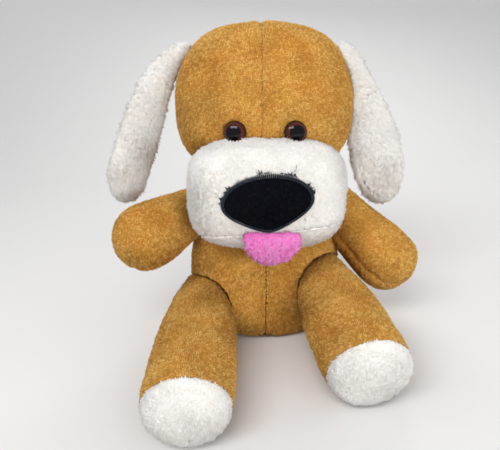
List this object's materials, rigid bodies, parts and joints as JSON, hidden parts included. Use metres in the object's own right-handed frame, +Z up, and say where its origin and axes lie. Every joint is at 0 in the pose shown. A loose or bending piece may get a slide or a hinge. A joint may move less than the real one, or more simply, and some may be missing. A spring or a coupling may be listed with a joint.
{
  "type": "hand puppet",
  "caption": "Seated plush puppy hand puppet with drooping ears, a square muzzle that opens, an oval nose, a tongue, stub arms and legs, and a hand opening behind.",
  "frame": {"origin": "on the flat seat, under the middle of the upright body", "axes": "+Z up; the puppet faces -Y; +X is the puppet's own left"},
  "size_m": [0.2526, 0.251, 0.2536],
  "materials": {
    "plush": "short-pile plush, golden brown",
    "fleece": "long-pile plush, warm white",
    "stuffing": "loose fibre stuffing, white",
    "lining": "plain woven cotton, brown",
    "nose": "brushed fabric, black",
    "thread": "satin stitching, dark navy",
    "tongue": "short-pile plush, pink",
    "eye": "clear amber over a black pupil, glossy",
    "washer": "moulded, natural white"
  },
  "bodies": {
    "torso": {"torso_front_left": "plush", "torso_front_right": "plush", "torso_back_panel": "plush", "seat_panel": "plush", "torso_stuffing_left": "stuffing", "torso_stuffing_right": "stuffing", "hand_lining": "lining", "opening_hem": "lining"},
    "neck": {"neck_sleeve": "lining"},
    "neck_ring": {"neck_gather": "plush"},
    "head": {"head_cover_left": "plush", "head_cover_right": "plush", "head_stuffing": "stuffing", "head_finger_pocket": "lining", "eye_left": "eye", "eye_right": "eye", "eye_washer_left": "washer", "eye_washer_right": "washer", "muzzle_cover": "fleece", "muzzle_stuffing": "stuffing", "mouth_roof": "fleece", "nose_patch": "nose", "nose_stitching": "thread"},
    "jaw": {"jaw_cover": "fleece", "jaw_stuffing": "stuffing", "mouth_floor": "fleece"},
    "tongue": {"tongue": "tongue"},
    "ear_left": {"ear_left_front": "fleece", "ear_left_back": "fleece"},
    "ear_right": {"ear_right_front": "fleece", "ear_right_back": "fleece"},
    "arm_left": {"arm_cover_left": "plush", "arm_stuffing_left": "stuffing", "arm_finger_pocket_left": "lining"},
    "arm_right": {"arm_cover_right": "plush", "arm_stuffing_right": "stuffing", "arm_finger_pocket_right": "lining"},
    "leg_left": {"leg_cover_left": "plush", "foot_cap_left": "fleece", "leg_stuffing_left": "stuffing"},
    "leg_right": {"leg_cover_right": "plush", "foot_cap_right": "fleece", "leg_stuffing_right": "stuffing"}
  },
  "joints": [
    {"name": "neck_turn", "type": "hinge", "parent": "torso", "child": "neck", "pos_m": [0.01135, 0.00164, 0.11947], "axis": [0.0941, -0.003, 0.9956], "range_deg": [-3, 12]},
    {"name": "neck_tilt", "type": "hinge", "parent": "neck", "child": "neck_ring", "pos_m": [0.01135, 0.00164, 0.11947], "axis": [0.0314, 0.9995, 0], "range_deg": [-8, 3]},
    {"name": "head_nod", "type": "hinge", "parent": "neck_ring", "child": "head", "pos_m": [0.01135, 0.00164, 0.11947], "axis": [-0.9951, 0.0313, 0.0941], "range_deg": [-3, 15]},
    {"name": "jaw_open", "type": "hinge", "parent": "head", "child": "jaw", "pos_m": [0.00826, -0.05178, 0.10453], "axis": [0.9951, -0.0313, -0.0941], "range_deg": [0, 16], "stiffness_Nm_per_rad": 0.048},
    {"name": "tongue_lift", "type": "hinge", "parent": "jaw", "child": "tongue", "pos_m": [0.01061, -0.08337, 0.10271], "axis": [-0.9951, 0.0313, 0.0941], "range_deg": [0, 30]},
    {"name": "ear_left_swing", "type": "hinge", "parent": "head", "child": "ear_left", "pos_m": [0.08215, 0.00542, 0.22931], "axis": [-0.0314, -0.9995, 0], "range_deg": [0, 75]},
    {"name": "ear_right_swing", "type": "hinge", "parent": "head", "child": "ear_right", "pos_m": [-0.04322, 0.00936, 0.24116], "axis": [0.0314, 0.9995, 0], "range_deg": [0, 75]},
    {"name": "arm_left_raise", "type": "hinge", "parent": "torso", "child": "arm_left", "pos_m": [0.06846, -0.00015, 0.09699], "axis": [-0.8091, -0.4388, -0.3909], "range_deg": [0, 32]},
    {"name": "arm_right_raise", "type": "hinge", "parent": "torso", "child": "arm_right", "pos_m": [-0.05086, 0.0056, 0.10326], "axis": [-0.7976, 0.5685, -0.2016], "range_deg": [0, 30]},
    {"name": "leg_left_swing", "type": "hinge", "parent": "torso", "child": "leg_left", "pos_m": [0.051, -0.02, 0.042], "axis": [-1, 0, 0], "range_deg": [-11, 2]},
    {"name": "leg_right_swing", "type": "hinge", "parent": "torso", "child": "leg_right", "pos_m": [-0.052, -0.022, 0.032], "axis": [-1, 0, 0], "range_deg": [-11, 8]}
  ]
}
